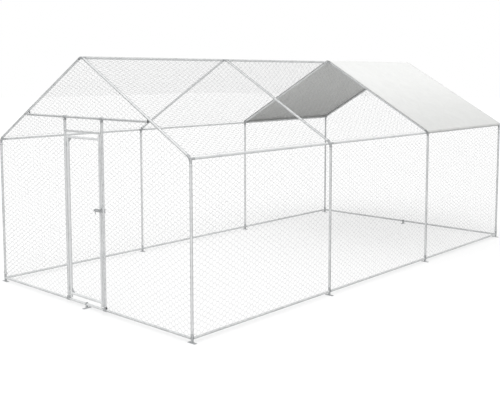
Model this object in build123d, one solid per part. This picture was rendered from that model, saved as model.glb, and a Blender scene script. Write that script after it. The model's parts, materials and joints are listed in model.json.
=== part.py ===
from build123d import *
import os
from math import ceil, cos, radians, sin, sqrt, tan

# Walk-in poultry run of galvanised tube: four gable frames in a row, netted all round,
# with a hinged wire door in the front gable and a cover over the rear bay of the roof.
# Millimetres. X runs across the run, Y along it with the door at -Y, and Z up.
# The origin is on the ground at the middle of the plan.

# Main frame
run_width = 3000
bay_length = 1960
bay_count = 3
eave_height = 1590
roof_pitch = 30
bend_radius = 80

# Tube, and the connectors that the tubes plug on to
tube_diameter = 25
tube_wall = 1.2
spigot_clearance = 0.15
spigot_wall = 1.2
spigot_reach = 45
seat_gap = 0.3
eave_rail_setback = 50

# Ground rails and feet
ground_rail_height = 40
base_joint_height = 85
middle_riser_height = 56
foot_length = 90
foot_width = 32
foot_thickness = 3
nail_hole_diameter = 11
nail_hole_offset = 32

# Door frame in the front gable
door_post_spacing = 590
header_height = 1873
lintel_height = 1736
tee_length = 44
tee_clearance = 0.2
tee_sleeve_wall = 2.3
tee_socket_wall = 1.8
tee_socket_length = 34
post_stop_gap = 2
header_end_gap = 3
plug_flange = 4
plug_insert = 20
bracket_width = 22
bracket_rise = 34
bracket_thickness = 3
knob_diameter = 14
knob_length = 9
knob_screw_diameter = 6
knob_screw_gap = 0.1
knob_clearance = 1

# Door leaf
hinge_side_gap = 20
latch_side_gap = 20
leaf_top_height = 1677
leaf_bottom_height = 105
stile_foot_height = 62
latch_stile_top = 1718
hinge_stile_rise = 14
gusset_leg = 45
gusset_thickness = 3
cope_gap = 0.1

# Hinges
hinge_inset = 45
hinge_pin_diameter = 8
hinge_clearance = 0.06
knuckle_diameter = 16
knuckle_height = 24
hinge_arm_height = 12
hinge_web = 5
pin_overrun = 6

# Sliding latch
latch_height = 1000
latch_plate_length = 80
latch_plate_height = 30
latch_plate_thickness = 3
latch_plate_reach = 18
latch_rod_diameter = 10
latch_clearance = 0.08
latch_rod_stand_off = 8
latch_throw = 32
latch_engagement = 10
latch_tail = 8
latch_tip_chamfer = 1.5
guide_thickness = 4
guide_width = 20
guide_height = 20
guide_inset = 4
latch_handle_diameter = 8
latch_handle_length = 38
latch_handle_gap = 2
keeper_opening = 14
keeper_height = 26
keeper_width = 16
keeper_edge = 0.6
keeper_eye_inset = 5
stop_length = 52
stop_height = 40
stop_thickness = 3
stop_pad_width = 16

# Wire netting, drawn as a flat grid of large six-sided gaps
net_thickness = 1.2
net_strip = 8
net_border = 10
net_cell = 510
net_edge_inset = 1
net_eave_inset = 10
net_ridge_lap = 19
smallest_gap_share = 0.02

# Cover over the rear bay
cover_thickness = 1
cover_front_overhang = 15
cover_rear_overhang = 15
cover_hem_height = 1582
cover_eave_radius = 30
cover_ridge_radius = 60
cover_gap = 0.3

# Places worked out from the sizes above
tube_radius = tube_diameter / 2
tube_bore = tube_diameter - 2 * tube_wall
spigot_diameter = tube_bore - 2 * spigot_clearance
spigot_bore = spigot_diameter - 2 * spigot_wall
connector_wall_middle = (tube_diameter + spigot_bore) / 2
half_width = run_width / 2
half_length = bay_length * bay_count / 2
frame_places = [-half_length + bay_length * number for number in range(bay_count + 1)]
slope = radians(roof_pitch)
ridge_height = eave_height + half_width * tan(slope)
eave_turn = radians(90 - roof_pitch)
ridge_turn = 2 * slope
eave_tangent = bend_radius * tan(eave_turn / 2)
ridge_tangent = bend_radius * tan(ridge_turn / 2)
rafter_run = half_width / cos(slope)
front = frame_places[0]
door_post = door_post_spacing / 2
hinge_stile = -door_post + tube_diameter + hinge_side_gap
latch_stile = door_post - tube_diameter - latch_side_gap
hinge_axis = -door_post + tube_radius + hinge_side_gap / 2
net_stand_off = tube_radius + seat_gap
net_ridge_inset = ridge_tangent - net_ridge_lap
tee_bore = tube_diameter + 2 * tee_clearance
tee_sleeve_diameter = tee_bore + 2 * tee_sleeve_wall
tee_socket_diameter = tee_bore + 2 * tee_socket_wall
knob_rise = tee_sleeve_diameter / 2 + knob_clearance + knob_diameter / 2


def bar(start, end, diameter):
    """Solid round bar from one point to another."""
    axis = Vector(*end) - Vector(*start)
    return extrude(Plane(origin=start, z_dir=axis) * Circle(diameter / 2), amount=axis.length)


def tube(start, end, diameter=tube_diameter, bore=tube_bore):
    """Open-ended round tube from one point to another."""
    axis = Vector(*end) - Vector(*start)
    ring = Circle(diameter / 2) - Circle(bore / 2)
    return extrude(Plane(origin=start, z_dir=axis) * ring, amount=axis.length)


def swept(edge, diameter):
    """Solid round bar along one edge of a bend."""
    return sweep(Plane(origin=edge @ 0, z_dir=edge % 0) * Circle(diameter / 2), path=edge)


def block(low, high):
    """Square-edged block between two corners."""
    size = [b - a for a, b in zip(low, high)]
    middle = [(a + b) / 2 for a, b in zip(low, high)]
    return Pos(*middle) * Box(*size)


def side_stub(root, direction, reach, host):
    """Tube stub welded to the outside of a connector, open at its far end.

    The host is a bar as thick as the middle of the connector's wall. Cutting it away leaves the
    stub's root buried in that wall and the connector's bore clear.
    """
    end = Vector(*root) + Vector(*direction) * reach
    return tube(root, end, spigot_diameter, spigot_bore) - host


# Gable frame


def elbow(place, corner, first_way, second_way, stub_ways):
    """Bent connector with a turned-down spigot at each end and side stubs for the rails.

    corner is where the two tube centre lines would cross, as (x, z), and each way is the unit
    direction, as (x, z), of the tube that slides over that end.
    """
    half_turn = Vector(*first_way).get_angle(Vector(*second_way)) / 2
    tangent = bend_radius / tan(radians(half_turn))
    reach = tangent + spigot_reach
    ends = [(corner[0] + way[0] * reach, corner[1] + way[1] * reach) for way in (first_way, second_way)]
    path = Plane(origin=(0, place, 0), x_dir=(1, 0, 0), z_dir=(0, -1, 0)) * FilletPolyline(
        ends[0], corner, ends[1], radius=bend_radius
    )
    bend = path.edges().filter_by(GeomType.CIRCLE)[0]
    body = swept(bend, tube_diameter)
    bore = swept(bend, spigot_bore)
    for leg in path.edges().filter_by(GeomType.LINE):
        body += swept(leg, spigot_diameter)
        bore += swept(leg, spigot_bore)
    body -= bore
    host = swept(bend, connector_wall_middle)
    for way in stub_ways:
        body += side_stub(bend @ 0.5, (0, way, 0), eave_rail_setback + spigot_reach, host)
    return body


def rail_point(corner, first_way, second_way):
    """Middle of an elbow's bend, where the rails join it, as (x, z)."""
    inward = (Vector(*first_way) + Vector(*second_way)).normalized()
    half_turn = radians(Vector(*first_way).get_angle(Vector(*second_way)) / 2)
    offset = bend_radius * (1 / sin(half_turn) - 1)
    return corner[0] + inward.X * offset, corner[1] + inward.Y * offset


def eave_corner(side):
    return (side * half_width, eave_height), (0, -1), (-side * cos(slope), sin(slope))


def ridge_corner():
    return (0, ridge_height), (-cos(slope), -sin(slope)), (cos(slope), -sin(slope))


def stub_ways(place):
    """Which ways rails leave a frame: both in the middle of the run, inward at its ends."""
    ways = []
    if place > frame_places[0]:
        ways.append(-1)
    if place < frame_places[-1]:
        ways.append(1)
    return ways


def post(side, place):
    x = side * half_width
    top = eave_height - eave_tangent - seat_gap
    return tube((x, place, base_joint_height + seat_gap), (x, place, top))


def rafter(side, place):
    def along(distance):
        return (side * (half_width - distance * cos(slope)), place, eave_height + distance * sin(slope))

    return tube(along(eave_tangent + seat_gap), along(rafter_run - ridge_tangent - seat_gap))


# Ground connectors


def base_connector(x, y, foot_way, rail_ways, riser_top, takes_post):
    """Foot plate with a riser tube, a spigot for the post and side stubs for the ground rails."""
    plate = Rectangle(foot_length, foot_width) if foot_way[0] else Rectangle(foot_width, foot_length)
    nail = Pos(foot_way[0] * nail_hole_offset, foot_way[1] * nail_hole_offset)
    body = extrude(plate - nail * Circle(nail_hole_diameter / 2), amount=foot_thickness)
    body += bar((0, 0, 0), (0, 0, riser_top), tube_diameter)
    top = riser_top
    if takes_post:
        top += spigot_reach
        body += bar((0, 0, riser_top), (0, 0, top), spigot_diameter)
    body -= bar((0, 0, foot_thickness), (0, 0, top), spigot_bore)
    host = bar((0, 0, foot_thickness), (0, 0, riser_top), connector_wall_middle)
    for way in rail_ways:
        body += side_stub((0, 0, ground_rail_height), (*way, 0), tube_radius + spigot_reach, host)
    return Pos(x, y) * body


def post_base(side, place):
    ways = [(0, way) for way in stub_ways(place)]
    if place in (frame_places[0], frame_places[-1]):
        ways.append((-side, 0))
    return base_connector(side * half_width, place, (side, 0), ways, base_joint_height, True)


def gable_base(end):
    return base_connector(0, end * half_length, (0, end), [(-1, 0), (1, 0)], middle_riser_height, False)


# Rails


def bay_rails(x, z, setback):
    """One rail for each bay, in line, each end set back from the frame's centre line."""
    return [
        tube((x, start + setback, z), (x, end - setback, z))
        for start, end in zip(frame_places, frame_places[1:])
    ]


def gable_ground_rails(end):
    """Two halves that meet at the foot in the middle of the gable."""
    inner = tube_radius + seat_gap
    outer = half_width - tube_radius - seat_gap
    y = end * half_length
    z = ground_rail_height
    return [tube((side * inner, y, z), (side * outer, y, z)) for side in (-1, 1)]


# Door frame


def header_reach():
    """Half length of the header: its top edge stops just under the rafters."""
    rise = header_height + tube_radius - eave_height
    return half_width - rise / tan(slope) - tube_radius / sin(slope) - header_end_gap


def header():
    reach = header_reach() - plug_flange
    return tube((-reach, front, header_height), (reach, front, header_height))


def header_plug(side):
    """Plastic plug in the header's end."""
    reach = side * header_reach()
    face = reach - side * plug_flange
    flange = bar((face, front, header_height), (reach, front, header_height), tube_diameter)
    insert_end = face - side * plug_insert
    insert = bar((insert_end, front, header_height), (face, front, header_height), spigot_diameter)
    return flange + insert


def header_bracket(side):
    """Flat strap behind the header and the rafter that ties one to the other."""
    y = front + tube_radius + cope_gap
    low = Vector(side * (header_reach() - bracket_width), y, header_height)
    rise = header_height + bracket_rise - eave_height
    high = Vector(side * (half_width - rise / tan(slope)), y, eave_height + rise)
    plane = Plane(origin=(low + high) / 2, x_dir=high - low, z_dir=(0, 1, 0))
    strap = SlotCenterToCenter((high - low).length, bracket_width)
    return extrude(plane * strap, amount=bracket_thickness, dir=plane.z_dir)


def door_frame_post(side):
    x = side * door_post
    foot = ground_rail_height + tube_radius + post_stop_gap
    head = header_height - tube_radius - post_stop_gap
    return tube((x, front, foot), (x, front, head))


def coped_rail(start_x, end_x, height):
    """Rail between two uprights, its ends shaped to their round sides."""
    low = height - tube_diameter
    high = height + tube_diameter
    rail = tube((start_x, front, height), (end_x, front, height))
    for x in (start_x, end_x):
        rail -= bar((x, front, low), (x, front, high), tube_diameter + 2 * cope_gap)
    return rail.solids().sort_by(SortBy.VOLUME)[-1]


def knob_centre(side):
    """Where the knob's screw enters the base tee, on its outer side."""
    return side * door_post, front, ground_rail_height + knob_rise


def tee(side, rail_height, way):
    """Tee fitting: a sleeve round the rail and a socket that takes the door post's end."""
    x = side * door_post
    half = tee_length / 2
    socket_end = (x, front, rail_height + way * tee_socket_length)
    body = bar((x - half, front, rail_height), (x + half, front, rail_height), tee_sleeve_diameter)
    body += bar((x, front, rail_height), socket_end, tee_socket_diameter)
    body -= bar((x - half, front, rail_height), (x + half, front, rail_height), tee_bore)
    body -= bar((x, front, rail_height), socket_end, tee_bore)
    if way > 0:
        start = knob_centre(side)
        end = (x + side * tee_socket_diameter, start[1], start[2])
        body -= bar(start, end, knob_screw_diameter + 2 * knob_screw_gap)
    return body


def knob(side):
    """Black thumb screw that locks the door post in its base tee."""
    x, y, z = knob_centre(side)
    tip = x + side * (tube_radius + knob_screw_gap)
    face = x + side * (tee_socket_diameter / 2 + seat_gap)
    head = bar((face, y, z), (face + side * knob_length, y, z), knob_diameter)
    return head + bar((tip, y, z), (face, y, z), knob_screw_diameter)


# Door leaf


def leaf_stile(x, top):
    return tube((x, front, stile_foot_height), (x, front, top))


def gusset(rail_height, way):
    """Corner plate between the hinge stile and a rail of the leaf."""
    x = hinge_stile + tube_radius + cope_gap
    z = rail_height + way * (tube_radius + cope_gap)
    plane = Plane(origin=(x, front - gusset_thickness / 2, z), x_dir=(1, 0, 0), z_dir=(0, 1, 0))
    outline = Polyline((0, 0), (gusset_leg, 0), (0, -way * gusset_leg), close=True)
    return extrude(plane * make_face(outline), amount=gusset_thickness)


def hinge_heights():
    """Height of the gap between eye and arm of each hinge, close inside the leaf's rails."""
    return (
        leaf_bottom_height + tube_radius + hinge_inset,
        leaf_top_height - tube_radius - hinge_inset,
    )


def hinge_web_block(upright, low, high):
    """Web from the hinge axis to an upright, shaped to the upright's round side."""
    near, far = sorted((hinge_axis, upright))
    web = block((near, front - hinge_web / 2, low), (far, front + hinge_web / 2, high))
    return web - bar((upright, front, low - 1), (upright, front, high + 1), tube_diameter + 2 * cope_gap)


def hinge_eye(height):
    """Knuckle on a web welded to the door post. It carries the leaf's pin."""
    low = height - knuckle_height
    body = bar((hinge_axis, front, low), (hinge_axis, front, height), knuckle_diameter)
    body += hinge_web_block(-door_post, low, height)
    hole = hinge_pin_diameter + 2 * hinge_clearance
    return body - bar((hinge_axis, front, low - 1), (hinge_axis, front, height + 1), hole)


def hinge_pin(height):
    """Pin under an arm welded to the leaf's hinge stile. It drops into the eye."""
    low = height + seat_gap
    high = low + hinge_arm_height
    body = bar((hinge_axis, front, low), (hinge_axis, front, high), knuckle_diameter)
    body += hinge_web_block(hinge_stile, low, high)
    tip = height - knuckle_height - pin_overrun
    return body + bar((hinge_axis, front, tip), (hinge_axis, front, low), hinge_pin_diameter)


# Latch


def latch_rod_y():
    return front - tube_radius - cope_gap - latch_plate_thickness - latch_rod_stand_off


def latch_lug(low_x, high_x, height):
    """Upright lug across the latch rod's path, its root on a back plate."""
    y = latch_rod_y()
    back = front - tube_radius - cope_gap - latch_plate_thickness / 2
    return block(
        (low_x, y - guide_width / 2, latch_height - height / 2), (high_x, back, latch_height + height / 2)
    )


def latch_plate_end():
    return latch_stile + latch_plate_reach


def latch_plate():
    """Back plate on the latch stile with two guide lugs."""
    high_x = latch_plate_end()
    low_x = high_x - latch_plate_length
    y = front - tube_radius - cope_gap
    half = latch_plate_height / 2
    body = block((low_x, y - latch_plate_thickness, latch_height - half), (high_x, y, latch_height + half))
    for start in (low_x, high_x - guide_inset - guide_thickness):
        body += latch_lug(start, start + guide_thickness, guide_height)
    hole = latch_rod_diameter + 2 * latch_clearance
    rod_y = latch_rod_y()
    return body - bar((low_x - 1, rod_y, latch_height), (high_x + 1, rod_y, latch_height), hole)


def latch_bolt():
    """Sliding rod with a handle that hangs from it, drawn back from the keeper."""
    y = latch_rod_y()
    tip = keeper_eye_start() + guide_thickness + latch_engagement - latch_throw
    tail = latch_plate_end() - latch_plate_length - latch_tail
    rod = bar((tail, y, latch_height), (tip, y, latch_height), latch_rod_diameter)
    rod = chamfer(rod.faces().sort_by(Axis.X)[-1].edges(), latch_tip_chamfer)
    x = tail + latch_tail + guide_thickness + latch_handle_gap + latch_handle_diameter / 2
    handle = bar((x, y, latch_height), (x, y, latch_height - latch_handle_length), latch_handle_diameter)
    return rod + handle


def keeper_eye_start():
    return door_post + keeper_edge - keeper_width + keeper_eye_inset


def latch_keeper():
    """Lug on the door post with a square opening that the latch rod enters."""
    y = front - tube_radius - cope_gap
    rod_y = latch_rod_y()
    half = keeper_height / 2
    gap = keeper_opening / 2
    high_x = door_post + keeper_edge
    low_x = high_x - keeper_width
    body = block((low_x, y - latch_plate_thickness, latch_height - half), (high_x, y, latch_height + half))
    eye = keeper_eye_start()
    body += latch_lug(eye, eye + guide_thickness, keeper_height)
    opening = block((low_x, rod_y - gap, latch_height - gap), (high_x, rod_y + gap, latch_height + gap))
    return body - opening


def door_stop():
    """Strap on the inner side of the latch post that the leaf closes against."""
    y = front + net_stand_off + net_thickness + seat_gap
    low_z = latch_height - stop_height / 2
    high_z = latch_height + stop_height / 2
    pad_start = door_post - stop_pad_width / 2
    pad_end = door_post + stop_pad_width / 2
    strap = block((door_post - stop_length, y, low_z), (pad_end, y + stop_thickness, high_z))
    return strap + block((pad_start, front + tube_radius + cope_gap, low_z), (pad_end, y, high_z))


# Netting


def net_face(outline):
    """The outline with a border all round and six-sided gaps, sides level, in offset columns."""
    window = offset(outline, -net_border).face()
    cell_radius = net_cell / sqrt(3)
    gap = RegularPolygon((net_cell - net_strip) / sqrt(3), 6)
    column_step = 1.5 * cell_radius
    box = outline.bounding_box()
    columns = ceil(box.size.X / 2 / column_step)
    rows = ceil(box.size.Y / 2 / net_cell) + 1
    middle = box.center()
    gaps = []
    for column in range(-columns, columns + 1):
        for row in range(-rows, rows + 1):
            x = middle.X + column * column_step
            y = middle.Y + (row + (column % 2) / 2) * net_cell
            cut = window & (Pos(x, y) * gap)
            if cut:
                gaps += [face for face in cut.faces() if face.area > smallest_gap_share * gap.area]
    return Face(outline.face().outer_wire(), [face.outer_wire() for face in gaps])


def net(outline, origin, x_way, out_way):
    """Flat net whose inner side lies at the origin and whose outer side faces out_way."""
    plane = Plane(origin=origin, x_dir=x_way, z_dir=out_way)
    return extrude(plane * net_face(outline), amount=net_thickness, dir=plane.z_dir)


def upright_outline(points):
    return make_face(Polyline(*points, close=True))


def rafter_inset_height(x):
    """Top edge of a gable net, a little inside the rafter's centre line."""
    return eave_height + (half_width - abs(x)) * tan(slope) - net_edge_inset / cos(slope)


def rafter_inset_reach(z):
    """Half width of a gable net at a height above the eaves."""
    return half_width - (z - eave_height + net_edge_inset / cos(slope)) / tan(slope)


def tee_notch():
    """Room round the tees, which stand proud of the tubes."""
    width = tee_length + 2 * seat_gap
    height = tee_sleeve_diameter + 2 * seat_gap
    socket = tee_socket_diameter + 2 * seat_gap
    notches = Rectangle(0.1, 0.1)
    for side in (-1, 1):
        for rail_height, way in ((ground_rail_height, 1), (header_height, -1)):
            notches += Pos(side * door_post, rail_height) * Rectangle(width, height)
            middle = rail_height + way * (tee_socket_length + seat_gap) / 2
            notches += Pos(side * door_post, middle) * Rectangle(socket, tee_socket_length + seat_gap)
    return notches


def side_net(side):
    low = ground_rail_height + net_edge_inset
    high = eave_height - net_eave_inset
    reach = half_length - net_edge_inset
    outline = upright_outline([(-reach, low), (reach, low), (reach, high), (-reach, high)])
    right = net(outline, (half_width + net_stand_off, 0, 0), (0, 1, 0), (1, 0, 0))
    return right if side > 0 else mirror(right, about=Plane.YZ)


def roof_net(side):
    low = net_eave_inset
    high = rafter_run - net_ridge_inset
    reach = half_length - net_edge_inset
    outline = upright_outline([(-reach, low), (reach, low), (reach, high), (-reach, high)])
    origin = (half_width + net_stand_off * sin(slope), 0, eave_height + net_stand_off * cos(slope))
    right = net(outline, origin, (0, 1, 0), (sin(slope), 0, cos(slope)))
    return right if side > 0 else mirror(right, about=Plane.YZ)


def gable_points():
    edge = half_width - net_edge_inset
    low = ground_rail_height + net_edge_inset
    eave = rafter_inset_height(edge)
    return [(-edge, low), (edge, low), (edge, eave), (0, rafter_inset_height(0)), (-edge, eave)]


def rear_net():
    return net(upright_outline(gable_points()), (0, half_length + net_stand_off, 0), (-1, 0, 0), (0, 1, 0))


def front_panel(outline):
    return net(outline - tee_notch(), (0, front - net_stand_off, 0), (1, 0, 0), (0, -1, 0))


def front_wing_net(side):
    edge = half_width - net_edge_inset
    low = ground_rail_height + net_edge_inset
    high = header_height - net_edge_inset
    inner = door_post + net_edge_inset
    shoulder = rafter_inset_reach(high)
    points = [(inner, low), (edge, low), (edge, rafter_inset_height(edge)), (shoulder, high), (inner, high)]
    return front_panel(upright_outline([(side * x, z) for x, z in points]))


def over_door_net():
    edge = door_post - net_edge_inset
    low = lintel_height + net_edge_inset
    high = header_height - net_edge_inset
    return front_panel(upright_outline([(-edge, low), (edge, low), (edge, high), (-edge, high)]))


def gable_top_net():
    low = header_height + net_edge_inset
    edge = rafter_inset_reach(low)
    return front_panel(upright_outline([(-edge, low), (edge, low), (0, rafter_inset_height(0))]))


def door_net():
    low_x = hinge_stile + net_edge_inset
    high_x = latch_stile - net_edge_inset
    low = leaf_bottom_height + net_edge_inset
    high = leaf_top_height - net_edge_inset
    outline = upright_outline([(-high_x, low), (-low_x, low), (-low_x, high), (-high_x, high)])
    return net(outline, (0, front + net_stand_off, 0), (-1, 0, 0), (0, 1, 0))


# Roof cover


def cover_inside():
    """How far the cover's inner side stands off the frame's centre lines."""
    return net_stand_off + net_thickness + cover_gap


def roof_section(stand_off):
    """Everything under the roof's outline, which is set outward by the stand-off."""
    side = half_width + stand_off
    corner = Vector(side, eave_height + stand_off * tan(eave_turn / 2))
    top = Vector(0, ridge_height + stand_off / cos(slope))
    left_corner = Vector(-corner.X, corner.Y)
    middle = (corner + top) * 0.5
    left_middle = (left_corner + top) * 0.5
    eave_radius = cover_eave_radius + stand_off - cover_inside()
    ridge_radius = cover_ridge_radius + stand_off - cover_inside()
    line = FilletPolyline((side, 0), corner, middle, radius=eave_radius)
    line += FilletPolyline(middle, top, left_middle, radius=ridge_radius)
    line += FilletPolyline(left_middle, left_corner, (-side, 0), radius=eave_radius)
    return make_face(line + Line((-side, 0), (side, 0)))


def roof_cover():
    """Sheet over both slopes of the rear bay, resting on the roof nets."""
    start = frame_places[-2] - cover_front_overhang
    end = frame_places[-1] + cover_rear_overhang
    shell = roof_section(cover_inside() + cover_thickness) - roof_section(cover_inside())
    plane = Plane(origin=(0, end, 0), x_dir=(1, 0, 0), z_dir=(0, -1, 0))
    sheet = extrude(plane * shell, amount=end - start)
    reach = half_width + 2 * bend_radius
    return sheet & block((-reach, start - 1, cover_hem_height), (reach, end + 1, ridge_height + bend_radius))


# Assembly

side_names = {-1: "left", 1: "right"}
frame_names = ["front"] + [f"mid_{number}" for number in range(1, bay_count)] + ["rear"]
parts = {}
for side, side_name in side_names.items():
    for place, frame_name in zip(frame_places, frame_names):
        parts[f"post_{frame_name}_{side_name}"] = [post(side, place)]
        parts[f"rafter_{frame_name}_{side_name}"] = [rafter(side, place)]
    parts[f"eave_elbows_{side_name}"] = [
        elbow(place, *eave_corner(side), stub_ways(place)) for place in frame_places
    ]
    parts[f"base_connectors_{side_name}"] = [post_base(side, place) for place in frame_places]
    eave_x, eave_z = rail_point(*eave_corner(side))
    parts[f"eave_rails_{side_name}"] = bay_rails(eave_x, eave_z, eave_rail_setback)
    parts[f"ground_rails_{side_name}"] = bay_rails(
        side * half_width, ground_rail_height, tube_radius + seat_gap
    )
    parts[f"door_post_{side_name}"] = [door_frame_post(side)]
    parts[f"net_side_{side_name}"] = [side_net(side)]
    parts[f"net_roof_{side_name}"] = [roof_net(side)]
    parts[f"net_front_{side_name}"] = [front_wing_net(side)]

parts["ridge_elbows"] = [elbow(place, *ridge_corner(), stub_ways(place)) for place in frame_places]
parts["ridge_rails"] = bay_rails(*rail_point(*ridge_corner()), eave_rail_setback)
parts["base_connector_front_middle"] = [gable_base(-1)]
parts["base_connector_rear_middle"] = [gable_base(1)]
parts["ground_rails_front"] = gable_ground_rails(-1)
parts["ground_rails_rear"] = gable_ground_rails(1)
parts["net_rear"] = [rear_net()]
parts["net_over_door"] = [over_door_net()]
parts["net_gable_top"] = [gable_top_net()]
parts["roof_cover"] = [roof_cover()]

parts["door_header"] = [header()]
parts["door_lintel"] = [coped_rail(-door_post, door_post, lintel_height)]
parts["header_brackets"] = [header_bracket(side) for side in (-1, 1)]
parts["header_plugs"] = [header_plug(side) for side in (-1, 1)]
parts["door_post_tees"] = [
    tee(side, *place) for side in (-1, 1) for place in ((ground_rail_height, 1), (header_height, -1))
]
parts["door_post_knobs"] = [knob(side) for side in (-1, 1)]
parts["door_stop"] = [door_stop()]
parts["hinge_eyes"] = [hinge_eye(height) for height in hinge_heights()]
parts["latch_keeper"] = [latch_keeper()]

parts["door_stile_hinge_side"] = [leaf_stile(hinge_stile, leaf_top_height + hinge_stile_rise)]
parts["door_stile_latch_side"] = [leaf_stile(latch_stile, latch_stile_top)]
parts["door_rail_top"] = [coped_rail(hinge_stile, latch_stile, leaf_top_height)]
parts["door_rail_bottom"] = [coped_rail(hinge_stile, latch_stile, leaf_bottom_height)]
parts["door_gussets"] = [gusset(leaf_bottom_height, 1), gusset(leaf_top_height, -1)]
parts["door_net"] = [door_net()]
parts["hinge_pins"] = [hinge_pin(height) for height in hinge_heights()]
parts["latch_plate"] = [latch_plate()]
parts["latch_bolt"] = [latch_bolt()]

os.makedirs("parts", exist_ok=True)
for name, shapes in parts.items():
    solids = [solid for shape in shapes for solid in shape.solids()]
    export_step(Compound(children=solids), f"parts/{name}.step")
print(len(parts), "nodes")
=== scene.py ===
from math import ceil, cos, floor, pi, radians, sin, tan

import json

import bmesh
import bpy
import numpy as np
from mathutils import Matrix, Vector
from mathutils.geometry import convex_hull_2d


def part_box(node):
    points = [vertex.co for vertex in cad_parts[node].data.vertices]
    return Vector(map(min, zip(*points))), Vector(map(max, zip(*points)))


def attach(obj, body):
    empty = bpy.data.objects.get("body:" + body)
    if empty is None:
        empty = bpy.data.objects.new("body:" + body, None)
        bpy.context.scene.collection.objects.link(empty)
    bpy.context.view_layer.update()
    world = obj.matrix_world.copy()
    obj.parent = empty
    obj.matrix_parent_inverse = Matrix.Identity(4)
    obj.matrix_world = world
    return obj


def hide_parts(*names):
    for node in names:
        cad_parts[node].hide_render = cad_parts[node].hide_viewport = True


# Camera
# It stands a little over head height off the run's front right corner, at the angle of the
# photograph. The lens axis is tipped down a little, and the shift sets the object lower in view.

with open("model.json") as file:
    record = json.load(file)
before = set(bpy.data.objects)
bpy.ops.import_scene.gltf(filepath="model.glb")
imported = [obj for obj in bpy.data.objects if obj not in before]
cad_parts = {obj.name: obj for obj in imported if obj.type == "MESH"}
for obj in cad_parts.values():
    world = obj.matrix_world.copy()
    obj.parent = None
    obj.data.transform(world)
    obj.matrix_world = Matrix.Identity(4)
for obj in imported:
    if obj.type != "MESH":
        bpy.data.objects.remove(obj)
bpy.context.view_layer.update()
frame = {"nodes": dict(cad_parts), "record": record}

CAMERA_PLACE = (6.2435, -7.4118, 2.2948)
CAMERA_HEADING = 0.7321
CAMERA_DIP = 0.1005
FOCAL_LENGTH = 56.33
SENSOR_WIDTH = 36.0
AXIS_RIGHT_OF_CENTRE = 0.0105
AXIS_ABOVE_CENTRE = 0.0952

camera_data = bpy.data.cameras.new("camera")
camera_data.lens = FOCAL_LENGTH
camera_data.sensor_width = SENSOR_WIDTH
camera_data.sensor_fit = "HORIZONTAL"
camera_data.shift_x = -AXIS_RIGHT_OF_CENTRE
camera_data.shift_y = -AXIS_ABOVE_CENTRE
camera_data.clip_end = 200.0
camera = bpy.data.objects.new("camera", camera_data)
camera.location = CAMERA_PLACE
camera.rotation_euler = (pi / 2 - CAMERA_DIP, 0.0, CAMERA_HEADING)
bpy.context.scene.collection.objects.link(camera)
bpy.context.scene.camera = camera
bpy.context.scene.view_settings.view_transform = "Standard"


# Studio
# A white floor in a white room that is brightest overhead, with one broad soft lamp to the front
# right. The floor glows a little by itself, so that the run's shadow on it stays faint.

FLOOR_HALF_SIDE = 60.0
FLOOR_DROP = 0.0005
FLOOR_COLOUR_SEEN = (0.38, 0.38, 0.38, 1.0)
FLOOR_COLOUR_UNSEEN = (0.68, 0.68, 0.68, 1.0)
FLOOR_GLOW = 0.56
ROOM_LIGHT_LOW = 0.20
ROOM_LIGHT_OVERHEAD = 1.50
LAMP_DIRECTION = (3.0, -5.0, 8.0)
LAMP_POWER = 1.1
LAMP_SPREAD = 60.0


def shader_link(material, source, target):
    material.node_tree.links.new(source, target)


def white_where_seen_directly(tree):
    """Mask that is 1 for what the camera, a mirror or a clear sheet shows."""
    path = tree.nodes.new("ShaderNodeLightPath")
    seen_or_glossy = tree.nodes.new("ShaderNodeMath")
    seen_or_glossy.operation = "MAXIMUM"
    tree.links.new(path.outputs["Is Camera Ray"], seen_or_glossy.inputs[0])
    tree.links.new(path.outputs["Is Glossy Ray"], seen_or_glossy.inputs[1])
    seen_at_all = tree.nodes.new("ShaderNodeMath")
    seen_at_all.operation = "MAXIMUM"
    tree.links.new(seen_or_glossy.outputs[0], seen_at_all.inputs[0])
    tree.links.new(path.outputs["Is Transmission Ray"], seen_at_all.inputs[1])
    return seen_at_all.outputs[0]


def white_room():
    world = bpy.data.worlds.new("white_room")
    world.use_nodes = True
    tree = world.node_tree
    tree.nodes.clear()
    direction = tree.nodes.new("ShaderNodeTexCoord")
    upward = tree.nodes.new("ShaderNodeSeparateXYZ")
    tree.links.new(direction.outputs["Generated"], upward.inputs[0])
    brightness = tree.nodes.new("ShaderNodeMapRange")
    brightness.inputs["To Min"].default_value = ROOM_LIGHT_LOW
    brightness.inputs["To Max"].default_value = ROOM_LIGHT_OVERHEAD
    tree.links.new(upward.outputs["Z"], brightness.inputs["Value"])
    room_light = tree.nodes.new("ShaderNodeBackground")
    room_light.inputs["Color"].default_value = (1.0, 1.0, 1.0, 1.0)
    tree.links.new(brightness.outputs["Result"], room_light.inputs["Strength"])
    backdrop = tree.nodes.new("ShaderNodeBackground")
    backdrop.inputs["Color"].default_value = (1.0, 1.0, 1.0, 1.0)
    backdrop.inputs["Strength"].default_value = 1.0
    choice = tree.nodes.new("ShaderNodeMixShader")
    output = tree.nodes.new("ShaderNodeOutputWorld")
    tree.links.new(white_where_seen_directly(tree), choice.inputs["Fac"])
    tree.links.new(room_light.outputs[0], choice.inputs[1])
    tree.links.new(backdrop.outputs[0], choice.inputs[2])
    tree.links.new(choice.outputs[0], output.inputs["Surface"])
    return world


bpy.context.scene.world = white_room()

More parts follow.
